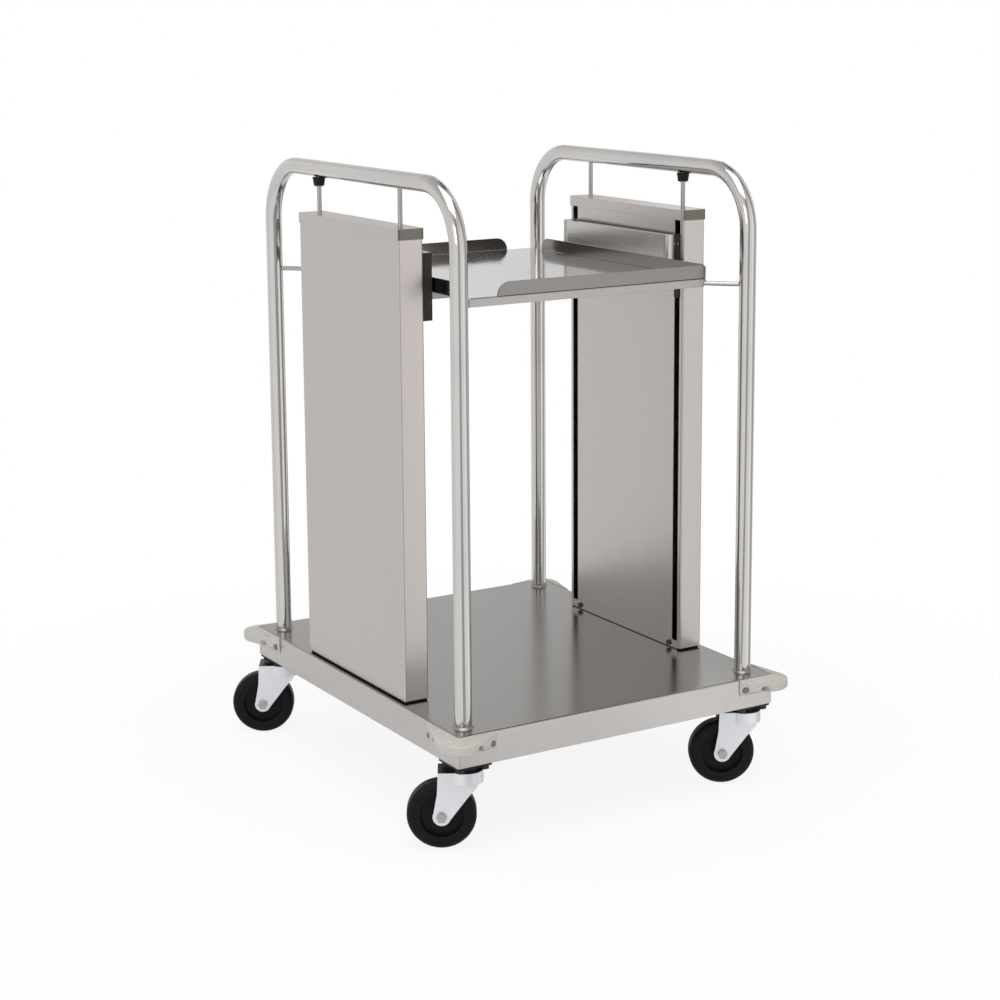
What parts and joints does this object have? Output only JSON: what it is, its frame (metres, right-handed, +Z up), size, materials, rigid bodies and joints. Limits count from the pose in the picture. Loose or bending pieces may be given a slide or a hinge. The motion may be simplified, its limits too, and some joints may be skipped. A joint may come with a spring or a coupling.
{
  "type": "mobile tray dispenser",
  "caption": "Open stainless trolley with a sprung tray shelf that rides between two slotted columns, under bent tube frames, on swivel casters.",
  "frame": {"origin": "on the floor under the middle of the base, midway between the four caster pivots", "axes": "+X to the right along the base's width, +Y to the back along its depth, +Z up"},
  "size_m": [0.637, 0.719, 0.965],
  "materials": {
    "base_sheet": "stainless sheet, fine brushed, half bright",
    "channel_steel": "folded stainless sheet, mill finish",
    "bumper_vinyl": "grey-beige moulded vinyl, satin",
    "screw_steel": "plain steel screws",
    "frame_tube": "stainless tube, polished",
    "column_sheet": "stainless sheet, brushed upright",
    "cap_sheet": "stainless sheet, brushed",
    "foot_black": "black moulded foot",
    "bolt_brown": "dark oxidised bolts",
    "rod_steel": "drawn stainless rod",
    "collar_rubber": "black rubber",
    "spring_steel": "spring wire",
    "shelf_polished": "stainless sheet, mirror polished",
    "guide_sheet": "stainless sheet, polished",
    "carriage_sheet": "stainless sheet, brushed",
    "guide_plastic": "black sliding plastic",
    "inner_steel": "plain steel plate",
    "caster_black": "black plate and race",
    "bolt_zinc": "zinc plated bolts",
    "fork_zinc": "bright zinc plated pressing",
    "axle_zinc": "zinc plated bolt and nut",
    "wheel_rubber": "black moulded rubber"
  },
  "bodies": {
    "base": {"base_pan": "base_sheet", "side_channel_left": "channel_steel", "side_channel_right": "channel_steel", "cross_members": "channel_steel", "bumper_fl": "bumper_vinyl", "bumper_fr": "bumper_vinyl", "bumper_bl": "bumper_vinyl", "bumper_br": "bumper_vinyl", "bumper_screws": "screw_steel", "frame_left": "frame_tube", "frame_right": "frame_tube", "column_shell_left": "column_sheet", "column_shell_right": "column_sheet", "inner_panel_left": "column_sheet", "inner_panel_right": "column_sheet", "column_cap_left": "cap_sheet", "column_cap_right": "cap_sheet", "column_foot_left": "foot_black", "column_foot_right": "foot_black", "panel_bolts": "bolt_brown", "stay_rods": "rod_steel", "rod_collars": "collar_rubber", "spring_hangers": "inner_steel", "lift_springs": "spring_steel", "caster_plate_fl": "caster_black", "caster_plate_fr": "caster_black", "caster_plate_bl": "caster_black", "caster_plate_br": "caster_black", "caster_bolts": "bolt_zinc"},
    "carriage": {"tray_shelf": "shelf_polished", "shelf_stiffeners": "inner_steel", "corner_rods": "rod_steel", "tray_guide_front_right": "guide_sheet", "tray_guide_back_left": "guide_sheet", "carriage_plate_left": "carriage_sheet", "carriage_plate_right": "carriage_sheet", "slide_guides_left": "guide_plastic", "slide_guides_right": "guide_plastic", "inner_carriage_left": "inner_steel", "inner_carriage_right": "inner_steel", "guide_screws": "screw_steel"},
    "swivel_fl": {"fork_fl": "fork_zinc", "axle_fl": "axle_zinc"},
    "roller_fl": {"wheel_fl": "wheel_rubber"},
    "swivel_fr": {"fork_fr": "fork_zinc", "axle_fr": "axle_zinc"},
    "roller_fr": {"wheel_fr": "wheel_rubber"},
    "swivel_bl": {"fork_bl": "fork_zinc", "axle_bl": "axle_zinc"},
    "roller_bl": {"wheel_bl": "wheel_rubber"},
    "swivel_br": {"fork_br": "fork_zinc", "axle_br": "axle_zinc"},
    "roller_br": {"wheel_br": "wheel_rubber"}
  },
  "joints": [
    {"name": "shelf_lift", "type": "slide", "parent": "base", "child": "carriage", "axis": [0, 0, 1], "range_m": [-0.55, 0], "stiffness_N_per_m": 1200, "springref_m": 0.12, "deforming": ["lift_springs"]},
    {"name": "swivel_turn_fl", "type": "hinge", "parent": "base", "child": "swivel_fl", "pos_m": [-0.251, -0.302, 0.12], "axis": [0, 0, 1], "continuous": true},
    {"name": "wheel_spin_fl", "type": "hinge", "parent": "swivel_fl", "child": "roller_fl", "pos_m": [-0.28131, -0.2845, 0.0508], "axis": [0.5, 0.866, 0], "continuous": true},
    {"name": "swivel_turn_fr", "type": "hinge", "parent": "base", "child": "swivel_fr", "pos_m": [0.251, -0.302, 0.12], "axis": [0, 0, 1], "continuous": true},
    {"name": "wheel_spin_fr", "type": "hinge", "parent": "swivel_fr", "child": "roller_fr", "pos_m": [0.22069, -0.2845, 0.0508], "axis": [0.5, 0.866, 0], "continuous": true},
    {"name": "swivel_turn_bl", "type": "hinge", "parent": "base", "child": "swivel_bl", "pos_m": [-0.251, 0.302, 0.12], "axis": [0, 0, 1], "continuous": true},
    {"name": "wheel_spin_bl", "type": "hinge", "parent": "swivel_bl", "child": "roller_bl", "pos_m": [-0.28131, 0.3195, 0.0508], "axis": [0.5, 0.866, 0], "continuous": true},
    {"name": "swivel_turn_br", "type": "hinge", "parent": "base", "child": "swivel_br", "pos_m": [0.251, 0.302, 0.12], "axis": [0, 0, 1], "continuous": true},
    {"name": "wheel_spin_br", "type": "hinge", "parent": "swivel_br", "child": "roller_br", "pos_m": [0.22069, 0.3195, 0.0508], "axis": [0.5, 0.866, 0], "continuous": true}
  ]
}
